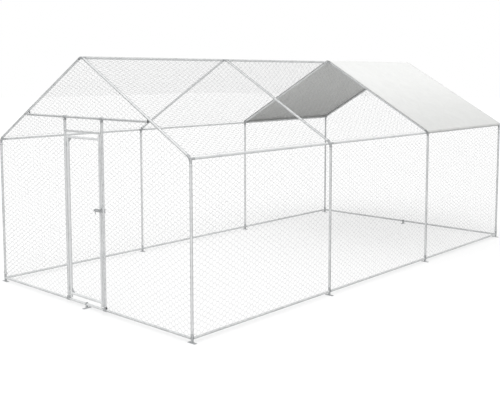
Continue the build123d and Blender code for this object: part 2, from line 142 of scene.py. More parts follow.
floor_mesh = bpy.data.meshes.new("studio_floor")
corner = FLOOR_HALF_SIDE
floor_mesh.from_pydata(
    [(-corner, -corner, -FLOOR_DROP), (corner, -corner, -FLOOR_DROP), (corner, corner, -FLOOR_DROP), (-corner, corner, -FLOOR_DROP)],
    [],
    [(0, 1, 2, 3)],
)
floor_paint = bpy.data.materials.new("studio_floor")
floor_paint.use_nodes = True
floor_shader = floor_paint.node_tree.nodes["Principled BSDF"]
floor_shader.inputs["Roughness"].default_value = 1.0
floor_shader.inputs["Specular IOR Level"].default_value = 0.0
floor_shader.inputs["Emission Color"].default_value = (1.0, 1.0, 1.0, 1.0)
floor_seen = white_where_seen_directly(floor_paint.node_tree)
floor_colour = floor_paint.node_tree.nodes.new("ShaderNodeMix")
floor_colour.data_type = "RGBA"
floor_colour.inputs["A"].default_value = FLOOR_COLOUR_UNSEEN
floor_colour.inputs["B"].default_value = FLOOR_COLOUR_SEEN
floor_glow = floor_paint.node_tree.nodes.new("ShaderNodeMath")
floor_glow.operation = "MULTIPLY"
floor_glow.inputs[1].default_value = FLOOR_GLOW
shader_link(floor_paint, floor_seen, floor_colour.inputs["Factor"])
shader_link(floor_paint, floor_colour.outputs["Result"], floor_shader.inputs["Base Color"])
shader_link(floor_paint, floor_seen, floor_glow.inputs[0])
shader_link(floor_paint, floor_glow.outputs[0], floor_shader.inputs["Emission Strength"])
floor_mesh.materials.append(floor_paint)
studio_floor = bpy.data.objects.new("studio_floor", floor_mesh)
bpy.context.scene.collection.objects.link(studio_floor)

lamp_data = bpy.data.lights.new("overhead_lamp", "SUN")
lamp_data.energy = LAMP_POWER
lamp_data.angle = radians(LAMP_SPREAD)
overhead_lamp = bpy.data.objects.new("overhead_lamp", lamp_data)
overhead_lamp.rotation_euler = (-Vector(LAMP_DIRECTION)).to_track_quat("-Z", "Y").to_euler()
bpy.context.scene.collection.objects.link(overhead_lamp)


# Tube frame
# Posts, rafters and rails of round steel tube, galvanised after it was drawn, so it has the faint
# crystal pattern of zinc and dulls unevenly. These are the CAD tubes with that finish.

TUBE_COLOUR_BRIGHT = (0.74, 0.75, 0.75, 1.0)
TUBE_COLOUR_DULL = (0.60, 0.61, 0.615, 1.0)
TUBE_SPANGLE_PER_METRE = 140.0
TUBE_ROUGHNESS = 0.42
TUBE_METALLIC = 0.25


def group_socket(tree, name, way, kind, value=None):
    socket = tree.interface.new_socket(name=name, in_out=way, socket_type=kind)
    if value is not None:
        socket.default_value = value
    return socket


def zinc_spangle():
    """Zinc's crystal pattern and the patches where it has dulled."""
    tree = bpy.data.node_groups.new("zinc_spangle", "ShaderNodeTree")
    group_socket(tree, "Crystals per metre", "INPUT", "NodeSocketFloat", 140.0)
    group_socket(tree, "Bright", "INPUT", "NodeSocketColor", (0.7, 0.7, 0.7, 1.0))
    group_socket(tree, "Dull", "INPUT", "NodeSocketColor", (0.5, 0.5, 0.5, 1.0))
    group_socket(tree, "Roughness", "INPUT", "NodeSocketFloat", 0.4)
    group_socket(tree, "Color", "OUTPUT", "NodeSocketColor")
    group_socket(tree, "Roughness", "OUTPUT", "NodeSocketFloat")
    group_socket(tree, "Height", "OUTPUT", "NodeSocketFloat")
    ends = tree.nodes.new("NodeGroupInput"), tree.nodes.new("NodeGroupOutput")
    place = tree.nodes.new("ShaderNodeTexCoord")
    crystals = tree.nodes.new("ShaderNodeTexVoronoi")
    crystals.feature = "F1"
    tree.links.new(place.outputs["Object"], crystals.inputs["Vector"])
    tree.links.new(ends[0].outputs["Crystals per metre"], crystals.inputs["Scale"])
    shade = tree.nodes.new("ShaderNodeSeparateColor")
    tree.links.new(crystals.outputs["Color"], shade.inputs["Color"])
    patches = tree.nodes.new("ShaderNodeTexNoise")
    patches.inputs["Scale"].default_value = 9.0
    patches.inputs["Detail"].default_value = 5.0
    tree.links.new(place.outputs["Object"], patches.inputs["Vector"])
    dulling = tree.nodes.new("ShaderNodeMapRange")
    dulling.inputs["From Min"].default_value = 0.3
    dulling.inputs["From Max"].default_value = 0.72
    tree.links.new(patches.outputs["Fac"], dulling.inputs["Value"])
    blend = tree.nodes.new("ShaderNodeMix")
    blend.inputs["Factor"].default_value = 0.35
    tree.links.new(dulling.outputs["Result"], blend.inputs["A"])
    tree.links.new(shade.outputs["Red"], blend.inputs["B"])
    tint = tree.nodes.new("ShaderNodeMix")
    tint.data_type = "RGBA"
    tree.links.new(blend.outputs["Result"], tint.inputs["Factor"])
    tree.links.new(ends[0].outputs["Bright"], tint.inputs["A"])
    tree.links.new(ends[0].outputs["Dull"], tint.inputs["B"])
    tree.links.new(tint.outputs["Result"], ends[1].inputs["Color"])
    rougher = tree.nodes.new("ShaderNodeMath")
    rougher.operation = "MULTIPLY_ADD"
    rougher.inputs[1].default_value = 0.22
    tree.links.new(blend.outputs["Result"], rougher.inputs[0])
    tree.links.new(ends[0].outputs["Roughness"], rougher.inputs[2])
    tree.links.new(rougher.outputs[0], ends[1].inputs["Roughness"])
    tree.links.new(shade.outputs["Green"], ends[1].inputs["Height"])
    return tree


spangle = zinc_spangle()


def galvanised(name, bright, dull, crystals_per_metre, roughness, metallic, bump_depth):
    """Zinc-coated steel, from fresh and bright to chalky."""
    material = bpy.data.materials.new(name)
    material.use_nodes = True
    nodes = material.node_tree.nodes
    shader = nodes["Principled BSDF"]
    zinc = nodes.new("ShaderNodeGroup")
    zinc.node_tree = spangle
    zinc.inputs["Crystals per metre"].default_value = crystals_per_metre
    zinc.inputs["Bright"].default_value = bright
    zinc.inputs["Dull"].default_value = dull
    zinc.inputs["Roughness"].default_value = roughness
    relief = nodes.new("ShaderNodeBump")
    relief.inputs["Strength"].default_value = 0.3
    relief.inputs["Distance"].default_value = bump_depth
    shader_link(material, zinc.outputs["Color"], shader.inputs["Base Color"])
    shader_link(material, zinc.outputs["Roughness"], shader.inputs["Roughness"])
    shader_link(material, zinc.outputs["Height"], relief.inputs["Height"])
    shader_link(material, relief.outputs["Normal"], shader.inputs["Normal"])
    shader.inputs["Metallic"].default_value = metallic
    return material


tube_zinc = galvanised(
    "tube_zinc", TUBE_COLOUR_BRIGHT, TUBE_COLOUR_DULL, TUBE_SPANGLE_PER_METRE, TUBE_ROUGHNESS, TUBE_METALLIC, 0.00004
)


def give_finish(names, material):
    for name in names:
        node = frame["nodes"][name]
        node.data.materials.clear()
        node.data.materials.append(material)


node_slots = {part["node"]: part["material_slot"] for part in frame["record"]["subparts"]}
tube_nodes = [name for name, slot_name in node_slots.items() if slot_name == "galvanised_tube"]
give_finish(tube_nodes, tube_zinc)


# Connectors
# Elbows, base connectors, tees and straps of heavier steel, dipped in zinc after welding, so they
# are duller and greyer than the tube and a little rough.

FITTING_COLOUR_BRIGHT = (0.52, 0.53, 0.535, 1.0)
FITTING_COLOUR_DULL = (0.36, 0.37, 0.38, 1.0)
FITTING_SPANGLE_PER_METRE = 90.0
FITTING_ROUGHNESS = 0.55
FITTING_METALLIC = 0.3

fitting_zinc = galvanised(
    "fitting_zinc",
    FITTING_COLOUR_BRIGHT,
    FITTING_COLOUR_DULL,
    FITTING_SPANGLE_PER_METRE,
    FITTING_ROUGHNESS,
    FITTING_METALLIC,
    0.0001,
)
fitting_nodes = [name for name, slot_name in node_slots.items() if slot_name == "galvanised_fitting"]
give_finish(fitting_nodes, fitting_zinc)


# Black plastic
# Moulded end plugs of the header and the thumb knobs of the lower tees, with a fine matt grain.

PLASTIC_COLOUR = (0.018, 0.018, 0.02, 1.0)
PLASTIC_WORN = (0.05, 0.05, 0.052, 1.0)


def moulded_plastic():
    material = bpy.data.materials.new("moulded_plastic")
    material.use_nodes = True
    nodes = material.node_tree.nodes
    shader = nodes["Principled BSDF"]
    place = nodes.new("ShaderNodeTexCoord")
    grain = nodes.new("ShaderNodeTexNoise")
    grain.inputs["Scale"].default_value = 900.0
    scuffs = nodes.new("ShaderNodeTexNoise")
    scuffs.inputs["Scale"].default_value = 60.0
    scuffs.inputs["Detail"].default_value = 6.0
    tint = nodes.new("ShaderNodeMix")
    tint.data_type = "RGBA"
    tint.inputs["A"].default_value = PLASTIC_COLOUR
    tint.inputs["B"].default_value = PLASTIC_WORN
    relief = nodes.new("ShaderNodeBump")
    relief.inputs["Strength"].default_value = 0.4
    relief.inputs["Distance"].default_value = 0.0001
    shader_link(material, place.outputs["Object"], grain.inputs["Vector"])
    shader_link(material, place.outputs["Object"], scuffs.inputs["Vector"])
    shader_link(material, scuffs.outputs["Fac"], tint.inputs["Factor"])
    shader_link(material, tint.outputs["Result"], shader.inputs["Base Color"])
    shader_link(material, grain.outputs["Fac"], relief.inputs["Height"])
    shader_link(material, relief.outputs["Normal"], shader.inputs["Normal"])
    shader.inputs["Roughness"].default_value = 0.5
    return material


black_plastic = moulded_plastic()
give_finish([name for name, slot_name in node_slots.items() if slot_name == "black_plastic"], black_plastic)


# Bolts and screws
# Zinc-plated steel. A bolt goes through each post near its foot and its head, and a flanged
# self-drilling screw holds each rafter, rail and strap, on the side that the netting leaves free.

ROOF_PITCH = radians(30)
TUBE_RADIUS = 0.0125
POST_BOLT_HEIGHTS = (0.100, 1.525)
RAFTER_SCREW_FROM_CORNER = 0.070
HIGH_RAIL_SCREW_FROM_FRAME = 0.072
GROUND_RAIL_SCREW_FROM_FRAME = 0.035
STRAP_HALF_WIDTH = 0.011
STRAP_SCREW_FROM_HEADER_END = 0.018
RIVET_FROM_LATCH_MIDDLE = 0.0115
LATCH_PLATE_THICKNESS = 0.003
WASHER = ((-0.0006, 0.0060), (0.0009, 0.0060), (0.0012, 0.0057))
WASHER_THICKNESS = 0.0012
BOLT_HEAD = ((0.0, 0.0058), (0.0032, 0.0058), (0.0040, 0.0047))
NUT = ((0.0, 0.0050), (0.0006, 0.0058), (0.0043, 0.0058), (0.0050, 0.0050))
NUT_HEIGHT = 0.0050
THREAD_END = ((0.0, 0.0030), (0.0022, 0.0030), (0.0030, 0.0022))
SCREW_FLANGE = ((-0.0006, 0.0052), (0.0006, 0.0052), (0.0010, 0.0044))
SCREW_HEAD = ((0.0008, 0.0041), (0.0034, 0.0041), (0.0040, 0.0034))
RIVET_HEAD = ((0.0, 0.0023), (0.0006, 0.0021), (0.0011, 0.0014), (0.0013, 0.0006))
PLATED_COLOUR_BRIGHT = (0.66, 0.67, 0.68, 1.0)
PLATED_COLOUR_DULL = (0.48, 0.49, 0.50, 1.0)

plated_steel = galvanised("plated_steel", PLATED_COLOUR_BRIGHT, PLATED_COLOUR_DULL, 400.0, 0.32, 0.7, 0.00002)


def middle_of(node):
    low_corner, high_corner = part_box(node)
    return (low_corner + high_corner) / 2


frame_names = ("front", "mid_1", "mid_2", "rear")
frame_places = [middle_of(f"post_{name}_right").y for name in frame_names]
half_width = middle_of("post_front_right").x
rafter_middle = middle_of("rafter_front_right")
eave_height = rafter_middle.z - (half_width - rafter_middle.x) * tan(ROOF_PITCH)
ground_rail_height = middle_of("ground_rails_right").z
slope_length = half_width / cos(ROOF_PITCH)
front = frame_places[0]
rear = frame_places[-1]
header_height = middle_of("door_header").z
lintel_height = middle_of("door_lintel").z
door_post = middle_of("door_post_right").x
ridge_height = eave_height + half_width * tan(ROOF_PITCH)


def skin(rings, sides):
    """Faces that join rings of corners into a tube, and the caps that close its two ends."""
    first = (np.arange(rings - 1) * sides)[:, None] + np.arange(sides)[None]
    second = (np.arange(rings - 1) * sides)[:, None] + (np.arange(sides)[None] + 1) % sides
    walls = np.stack([first, second, second + sides, first + sides], axis=-1).reshape(-1, 4)
    caps = [list(range(sides))[::-1], list(range((rings - 1) * sides, rings * sides))]
    return walls, caps


def turned(place, axis, profile, sides):
    """A small piece turned about an axis. The profile lists how far out each ring is, and its radius."""
    turn = np.arange(sides) * 2 * pi / sides
    circle = np.stack([np.cos(turn), np.sin(turn)], axis=1)
    rings = [np.column_stack([circle * radius, np.full(sides, out)]) for out, radius in profile]
    facing = np.array(Vector(axis).to_track_quat("Z", "Y").to_matrix())
    corners = np.concatenate(rings) @ facing.T + np.array(place)
    return corners, *skin(len(profile), sides)


def one_mesh(name, pieces):
    """One mesh out of the corners, walls and caps of many small pieces."""
    corners, loops, starts, at = [], [], [], 0
    loop_at = 0
    for piece_corners, walls, caps in pieces:
        corners.append(piece_corners)
        loops.append((walls + at).reshape(-1))
        starts.append(loop_at + 4 * np.arange(len(walls)))
        loop_at += 4 * len(walls)
        for cap in caps:
            loops.append(np.array(cap) + at)
            starts.append(np.array([loop_at]))
            loop_at += len(cap)
        at += len(piece_corners)
    mesh = bpy.data.meshes.new(name)
    all_corners = np.concatenate(corners)
    all_loops = np.concatenate(loops).astype(np.int32)
    all_starts = np.concatenate(starts).astype(np.int32)
    mesh.vertices.add(len(all_corners))
    mesh.vertices.foreach_set("co", all_corners.astype(np.float32).reshape(-1))
    mesh.loops.add(len(all_loops))
    mesh.loops.foreach_set("vertex_index", all_loops)
    mesh.polygons.add(len(all_starts))
    mesh.polygons.foreach_set("loop_start", all_starts)
    mesh.update(calc_edges=True)
    mesh.validate()
    return mesh


def place_mesh(name, mesh, material, body):
    """A finished mesh as a piece that rides on a body."""
    mesh.materials.append(material)
    piece = bpy.data.objects.new(name, mesh)
    bpy.context.scene.collection.objects.link(piece)
    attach(piece, body)
    return piece


def bolt(place, axis):
    """A bolt through a tube: washer and head on one side, washer, nut and thread on the other."""
    near = Vector(place) + TUBE_RADIUS * axis
    far = Vector(place) - TUBE_RADIUS * axis
    return [
        turned(near, axis, WASHER, 16),
        turned(near + WASHER_THICKNESS * axis, axis, BOLT_HEAD, 6),
        turned(far, -axis, WASHER, 16),
        turned(far - WASHER_THICKNESS * axis, -axis, NUT, 6),
        turned(far - (WASHER_THICKNESS + NUT_HEIGHT) * axis, -axis, THREAD_END, 10),
    ]


def screw(place, axis, out=TUBE_RADIUS):
    """A flanged screw whose head stands out from a tube's centre line by its radius."""
    seat = Vector(place) + out * axis
    return [turned(seat, axis, SCREW_FLANGE, 16), turned(seat, axis, SCREW_HEAD, 6)]


fasteners = []
for y in frame_places:
    outward_y = {front: -1, rear: 1}.get(y, 0)
    for side in (1, -1):
        bolt_axis = Vector((side, outward_y, 0)).normalized() if outward_y else Vector((0, -1, 0))
        for z in POST_BOLT_HEIGHTS:
            fasteners += bolt((side * half_width, y, z), bolt_axis)
        under_rafter = Vector((-side * sin(ROOF_PITCH), 0, -cos(ROOF_PITCH)))
        up_slope = Vector((-side * cos(ROOF_PITCH), 0, sin(ROOF_PITCH)))
        eave_corner = Vector((side * half_width, y, eave_height))
        ridge_corner = Vector((0, y, ridge_height))
        fasteners += screw(eave_corner + RAFTER_SCREW_FROM_CORNER * up_slope, under_rafter)
        fasteners += screw(ridge_corner - RAFTER_SCREW_FROM_CORNER * up_slope, under_rafter)
        if outward_y:
            for x in (GROUND_RAIL_SCREW_FROM_FRAME, half_width - GROUND_RAIL_SCREW_FROM_FRAME):
                fasteners += screw((side * x, y, ground_rail_height), Vector((0, -outward_y, 0)))

eave_rail = middle_of("eave_rails_right")
ridge_rail = middle_of("ridge_rails")
for start, end in zip(frame_places, frame_places[1:]):
    for y in (start + HIGH_RAIL_SCREW_FROM_FRAME, end - HIGH_RAIL_SCREW_FROM_FRAME):
        fasteners += screw((0, y, ridge_rail.z), Vector((0, 0, -1)))
        for side in (1, -1):
            fasteners += screw((side * eave_rail.x, y, eave_rail.z), Vector((-side, 0, -1)).normalized())
    for y in (start + GROUND_RAIL_SCREW_FROM_FRAME, end - GROUND_RAIL_SCREW_FROM_FRAME):
        for side in (1, -1):
            fasteners += screw((side * half_width, y, ground_rail_height), Vector((-side, 0, 0)))

strap_low, strap_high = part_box("header_brackets")
header_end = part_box("door_header")[1].x
for side in (1, -1):
    for x, z in (
        (header_end - STRAP_SCREW_FROM_HEADER_END, header_height),
        (strap_high.x - STRAP_HALF_WIDTH, strap_high.z - STRAP_HALF_WIDTH),
    ):
        fasteners += screw((side * x, strap_high.y, z), Vector((0, 1, 0)), 0)
stop_low, stop_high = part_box("door_stop")
stop_height = (stop_low.z + stop_high.z) / 2
fasteners += screw((door_post, stop_high.y, stop_height), Vector((0, 1, 0)), 0)
place_mesh("bolts_and_screws", one_mesh("bolts_and_screws", fasteners), plated_steel, "frame")

latch_stile = middle_of("door_stile_latch_side").x
plate_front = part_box("latch_plate")[1].y - LATCH_PLATE_THICKNESS
rivets = [
    turned((latch_stile, plate_front, stop_height + way * RIVET_FROM_LATCH_MIDDLE), (0, -1, 0), RIVET_HEAD, 14)
    for way in (1, -1)
]
place_mesh("latch_rivets", one_mesh("latch_rivets", rivets), plated_steel, "door")


# Wire netting
# Six-sided netting of thin galvanised wire, 50 mm across. Each wire twists one full turn with the
# wire on one side of it, slants across, and twists with the wire on the other side.

MESH_WIDTH = 0.050
MESH_LENGTH = 0.080
TWIST_LENGTH = 0.018
WIRE_RADIUS = 0.00055
WIRE_DRAWN_RADIUS = 0.00080
EDGE_WIRE_RADIUS = 0.0011
NET_STAND_OFF = 0.0139
NET_SLACK = 0.005
SLACK_REACH = 0.35
WIRE_COLOUR_BRIGHT = (0.46, 0.47, 0.47, 1.0)
WIRE_COLOUR_DULL = (0.31, 0.32, 0.32, 1.0)

wire_zinc = galvanised("wire_zinc", WIRE_COLOUR_BRIGHT, WIRE_COLOUR_DULL, 60.0, 0.5, 0.3, 0.00002)


def wire_course(start, end, twist_centre, next_centre, above):
    """One wire's line along the netting: distance along, distance across and lift, as an array."""
    half_twist = TWIST_LENGTH / 2
    steps = np.array([-half_twist, -half_twist / 3, half_twist / 3, half_twist])
    turn = np.array([0.0, 2 * pi / 3, 4 * pi / 3, 2 * pi])
    aside = WIRE_RADIUS * np.cos(turn)
    lift = WIRE_RADIUS * np.sin(turn)
    rows = []
    for number in range(floor(start / MESH_LENGTH) - 1, ceil(end / MESH_LENGTH) + 2):
        for centre, shift, side in ((twist_centre, 0.0, above), (next_centre, MESH_LENGTH / 2, -above)):
            along = number * MESH_LENGTH + shift + steps
            rows.append(np.stack([along, centre + side * aside, side * lift], axis=1))
    whole = np.concatenate(rows)
    inside = whole[(whole[:, 0] > start + WIRE_RADIUS) & (whole[:, 0] < end - WIRE_RADIUS)]
    ends = [[at, np.interp(at, whole[:, 0], whole[:, 1]), np.interp(at, whole[:, 0], whole[:, 2])] for at in (start, end)]
    return np.concatenate([[ends[0]], inside, [ends[1]]])


def round_section(radius, sides):
    turn = np.arange(sides) * 2 * pi / sides
    return radius * np.stack([np.cos(turn), np.sin(turn)], axis=1)


def drawn_along(line, section, level=(0.0, 0.0, 1.0)):
    """Corners and faces of a section drawn along a line and closed at both ends. The section's
    second axis keeps to the level direction, which the line never follows."""
    ahead = np.gradient(line, axis=0)
    ahead /= np.linalg.norm(ahead, axis=1)[:, None]
    across = np.cross(level, ahead)
    across /= np.linalg.norm(across, axis=1)[:, None]
    up = np.cross(ahead, across)
    ring = section[None, :, :1] * across[:, None] + section[None, :, 1:] * up[:, None]
    corners = (line[:, None] + ring).reshape(-1, 3)
    return corners, *skin(len(line), len(section))


def netting(name, body, nodes, origin, along, across, outline, slack=0.0):
    """A panel of netting. along is the way its twists run, and outline its convex edge, in metres
    along and across from the origin. slack is how far its middle hangs back from the flat."""
    along = Vector(along).normalized()
    across = Vector(across).normalized()
    outward = along.cross(across)
    edge = np.array(outline, float)
    sides = list(zip(edge, np.roll(edge, -1, axis=0)))
    low, high = edge.min(0), edge.max(0)

    def limits(level):
        """Where a line at this level, across the panel, enters and leaves the outline."""
        crossings = []
        for (x0, y0), (x1, y1) in sides:
            if (y0 - level) * (y1 - level) < 0:
                crossings.append(x0 + (x1 - x0) * (level - y0) / (y1 - y0))
        return (min(crossings), max(crossings)) if len(crossings) == 2 else None

    def settled(line):
        """The line pulled back from the flat by the panel's slack, except close to its edges."""
        inward = np.full(len(line), 9.0)
        for (x0, y0), (x1, y1) in sides:
            off = (line[:, 0] - x0) * (y1 - y0) - (line[:, 1] - y0) * (x1 - x0)
            inward = np.minimum(inward, np.abs(off) / np.hypot(x1 - x0, y1 - y0))
        share = np.clip(inward / SLACK_REACH, 0, 1)
        ripple = 0.4 + 0.6 * np.sin(4.1 * line[:, 0] + 1.3 * line[:, 1]) ** 2
        moved = line.copy()
        moved[:, 2] -= slack * share**2 * (3 - 2 * share) * ripple
        return moved

    wires = []
    half_mesh = MESH_WIDTH / 2
    for number in range(floor(low[1] / half_mesh) - 1, ceil(high[1] / half_mesh) + 1):
        reach = limits((number + 0.5) * half_mesh)
        if reach is None or reach[1] - reach[0] < 2 * TWIST_LENGTH:
            continue
        upper = number % 2 == 0
        twist_centre = (number if upper else number + 1) * half_mesh
        next_centre = (number + 1 if upper else number) * half_mesh
        line = wire_course(*reach, twist_centre, next_centre, 1 if upper else -1)
        line[:, 1] = np.clip(line[:, 1], low[1], high[1])
        wires.append(drawn_along(settled(line), round_section(WIRE_DRAWN_RADIUS, 3)))
    for (x0, y0), (x1, y1) in sides:
        count = max(2, ceil(float(np.hypot(x1 - x0, y1 - y0)) / 0.3))
        side = np.stack([np.linspace(x0, x1, count), np.linspace(y0, y1, count), np.zeros(count)], axis=1)
        wires.append(drawn_along(side, round_section(EDGE_WIRE_RADIUS, 4)))
    mesh = one_mesh(name, wires)
    mesh.transform(Matrix((along, across, outward)).transposed().to_4x4())
    mesh.transform(Matrix.Translation(origin))
    panel = place_mesh(name, mesh, wire_zinc, body)
    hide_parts(*nodes)


# Netting on the long sides and the roof
# One length of netting for each bay, drawn tight over the outside of the posts and rafters. The
# wires run lengthwise on the walls and the roof alike.

EDGE_BACK_FROM_TUBE = 0.0012
EAVE_EDGE = 0.010
RIDGE_EDGE = 0.027


for number, (start, end) in enumerate(zip(frame_places, frame_places[1:]), 1):
    low = ground_rail_height + EDGE_BACK_FROM_TUBE
    high = eave_height - EAVE_EDGE
    near_end = start + EDGE_BACK_FROM_TUBE
    far_end = end - EDGE_BACK_FROM_TUBE
    wall = [(near_end, low), (far_end, low), (far_end, high), (near_end, high)]
    netting(
        f"netting_right_bay_{number}",
        "frame",
        ["net_side_right"],
        (half_width + NET_STAND_OFF, 0, 0),
        (0, 1, 0),
        (0, 0, 1),
        wall,
        NET_SLACK,
    )
    netting(
        f"netting_left_bay_{number}",
        "frame",
        ["net_side_left"],
        (-half_width - NET_STAND_OFF, 0, 0),
        (0, -1, 0),
        (0, 0, 1),
        [(-along, up) for along, up in wall],
        NET_SLACK,
    )
    for side, side_name in ((1, "right"), (-1, "left")):
        origin = Vector((side * half_width, 0, eave_height))
        origin += NET_STAND_OFF * Vector((side * sin(ROOF_PITCH), 0, cos(ROOF_PITCH)))
        top = slope_length - RIDGE_EDGE
        bay = [(near_end, EAVE_EDGE), (far_end, EAVE_EDGE), (far_end, top), (near_end, top)]
        netting(
            f"netting_roof_{side_name}_bay_{number}",
            "frame",
            [f"net_roof_{side_name}"],
            origin,
            (0, side, 0),
            (-side * cos(ROOF_PITCH), 0, sin(ROOF_PITCH)),
            [(side * y, up) for y, up in bay],
            NET_SLACK,
        )


# Netting on the gables
# The rear gable is one panel. The front has a wing each side of the door, a strip over it and a
# triangle above the header, and the door has its own panel on the inner side of its tubes.

TEE_HALF_LENGTH = 0.024
TEE_REACH = 0.040

outer = half_width - EDGE_BACK_FROM_TUBE
floor_edge = ground_rail_height + EDGE_BACK_FROM_TUBE


def rafter_line(x):
    """Height of the netting's edge under the rafter."""
    return eave_height + (half_width - abs(x)) * tan(ROOF_PITCH) - EDGE_BACK_FROM_TUBE / cos(ROOF_PITCH)


def rafter_reach(z):
    return half_width - (z - eave_height + EDGE_BACK_FROM_TUBE / cos(ROOF_PITCH)) / tan(ROOF_PITCH)


netting(
    "netting_rear_gable",
    "frame",
    ["net_rear"],
    (0, rear + NET_STAND_OFF, 0),
    (-1, 0, 0),
    (0, 0, 1),
    [(-outer, floor_edge), (outer, floor_edge), (outer, rafter_line(outer)), (0, rafter_line(0)), (-outer, rafter_line(outer))],
    NET_SLACK,
)

wing_top = header_height - EDGE_BACK_FROM_TUBE
inner = door_post + EDGE_BACK_FROM_TUBE
notch = door_post + TEE_HALF_LENGTH
foot = ground_rail_height + TEE_REACH
head = header_height - TEE_REACH
wing = [(notch, floor_edge), (outer, floor_edge), (outer, rafter_line(outer)), (rafter_reach(wing_top), wing_top), (notch, wing_top), (inner, head), (inner, foot)]
for side, side_name in ((1, "right"), (-1, "left")):
    netting(
        f"netting_front_wing_{side_name}",
        "frame",
        [f"net_front_{side_name}"],
        (0, front - NET_STAND_OFF, 0),
        (1, 0, 0),
        (0, 0, 1),
        [(side * x, z) for x, z in wing][::side],
        NET_SLACK,
    )

strip_low = lintel_height + EDGE_BACK_FROM_TUBE
strip = door_post - TEE_HALF_LENGTH
near = door_post - EDGE_BACK_FROM_TUBE
netting(
    "netting_over_door",
    "frame",
    ["net_over_door"],
    (0, front - NET_STAND_OFF, 0),
    (1, 0, 0),
    (0, 0, 1),
    [(-near, strip_low), (near, strip_low), (near, head), (strip, wing_top), (-strip, wing_top), (-near, head)],
)

top_low = header_height + EDGE_BACK_FROM_TUBE
netting(
    "netting_gable_top",
    "frame",
    ["net_gable_top"],
    (0, front - NET_STAND_OFF, 0),
    (1, 0, 0),
    (0, 0, 1),
    [(-rafter_reach(top_low), top_low), (rafter_reach(top_low), top_low), (0, rafter_line(0))],
    NET_SLACK / 2,
)

hinge_stile = middle_of("door_stile_hinge_side").x
leaf_low = middle_of("door_rail_bottom").z + EDGE_BACK_FROM_TUBE
leaf_high = middle_of("door_rail_top").z - EDGE_BACK_FROM_TUBE
leaf_near = -latch_stile + EDGE_BACK_FROM_TUBE
leaf_far = -hinge_stile - EDGE_BACK_FROM_TUBE
netting(
    "netting_door",
    "door",
    ["door_net"],
    (0, front + NET_STAND_OFF, 0),
    (-1, 0, 0),
    (0, 0, 1),
    [(leaf_near, leaf_low), (leaf_far, leaf_low), (leaf_far, leaf_high), (leaf_near, leaf_high)],
)


# Wire ties
# Short ends of soft galvanised wire, each passed round a tube and the netting's edge and twisted
# off on the side away from the netting, a little under half a metre apart.

TIE_SPACING = 0.45
TIE_WIRE_RADIUS = 0.0005
TIE_TAIL_LENGTH = 0.008
TIE_TAIL_LEAN = 0.45
TIE_TAIL_TURNS = 1.25
LOOP_STEPS = 20
TIES_CLEAR_OF_CORNER = 0.12


def loop_round(circles):
    """The tightest loop round circles in a plane, as points from its innermost one onwards."""
    turn = np.arange(LOOP_STEPS) * 2 * pi / LOOP_STEPS
    rims = [np.column_stack([u + radius * np.cos(turn), v + radius * np.sin(turn)]) for u, v, radius in circles]
    points = np.concatenate(rims)
    hull = points[convex_hull_2d([Vector(point) for point in points])]
    return np.roll(hull, -int(hull[:, 0].argmin()), axis=0)


def tie(place, axis, outward, edges):
    """A wire tie round a tube and the netting edges beside it. The tube's netting lies outward of
    it, unless the edges are given as places."""
    sideways = axis.cross(outward)
    spots = [((edge - place).dot(outward), (edge - place).dot(sideways)) for edge in edges]
    if not spots:
        spots = [(NET_STAND_OFF, EDGE_BACK_FROM_TUBE), (NET_STAND_OFF, -EDGE_BACK_FROM_TUBE)]
    around = [(u, v, EDGE_WIRE_RADIUS + TIE_WIRE_RADIUS) for u, v in spots]
    hull = loop_round([(0, 0, TUBE_RADIUS + TIE_WIRE_RADIUS), *around])
    closed = np.concatenate([hull, hull[:1]])
    loop = np.column_stack([closed, np.linspace(-TIE_WIRE_RADIUS, TIE_WIRE_RADIUS, len(closed))])
    away = np.array([-TIE_TAIL_LEAN, 0.0, 1.0]) / np.hypot(TIE_TAIL_LEAN, 1.0)
    beside = np.array([0.0, 1.0, 0.0])
    under = np.cross(away, beside)
    out = np.linspace(0.2, 1, 6)[:, None]
    turn = TIE_TAIL_TURNS * 2 * pi * out
    swing = 1.2 * TIE_WIRE_RADIUS * (np.cos(turn) * beside + np.sin(turn) * under)
    spine = np.array([hull[0, 0], hull[0, 1], 0.0]) + TIE_TAIL_LENGTH * out * away
    line = np.concatenate([(spine - swing)[::-1], loop, spine + swing])
    line = np.array(place) + line @ np.array([outward, sideways, axis])
    return drawn_along(line, round_section(TIE_WIRE_RADIUS, 3), axis)


def ties_along(start, end, outward, edges=()):
    start = Vector(start)
    run = Vector(end) - start
    count = ceil(run.length / TIE_SPACING)
    return [tie(start + run * (number + 0.5) / count, run.normalized(), Vector(outward), edges) for number in range(count)]


frame_ties = []
for y in frame_places:
    outward_y = {front: -1, rear: 1}.get(y, 0)
    for side in (1, -1):
        foot = Vector((side * half_width, y, TIES_CLEAR_OF_CORNER))
        eave_corner = Vector((side * half_width, y, eave_height))
        ridge_corner = Vector((0, y, ridge_height))
        up_slope = (ridge_corner - eave_corner).normalized()
        off_roof = Vector((side * sin(ROOF_PITCH), 0, cos(ROOF_PITCH)))
        head = eave_corner - Vector((0, 0, TIES_CLEAR_OF_CORNER))
        low = eave_corner + TIES_CLEAR_OF_CORNER * up_slope
        top = ridge_corner - TIES_CLEAR_OF_CORNER * up_slope
        frame_ties += ties_along(foot, head, (side, 0, 0))
        frame_ties += ties_along(low, top, off_roof)
        if outward_y:
            between = Vector((0, 0, TIES_CLEAR_OF_CORNER))
            frame_ties += ties_along(foot + between, head - between, (0, outward_y, 0))
            between = TIES_CLEAR_OF_CORNER * up_slope
            frame_ties += ties_along(low + between, top - between, (0, outward_y, 0))
            start = (side * TIES_CLEAR_OF_CORNER, y, ground_rail_height)
            end = (side * (half_width - TIES_CLEAR_OF_CORNER), y, ground_rail_height)
            frame_ties += ties_along(start, end, (0, outward_y, 0))

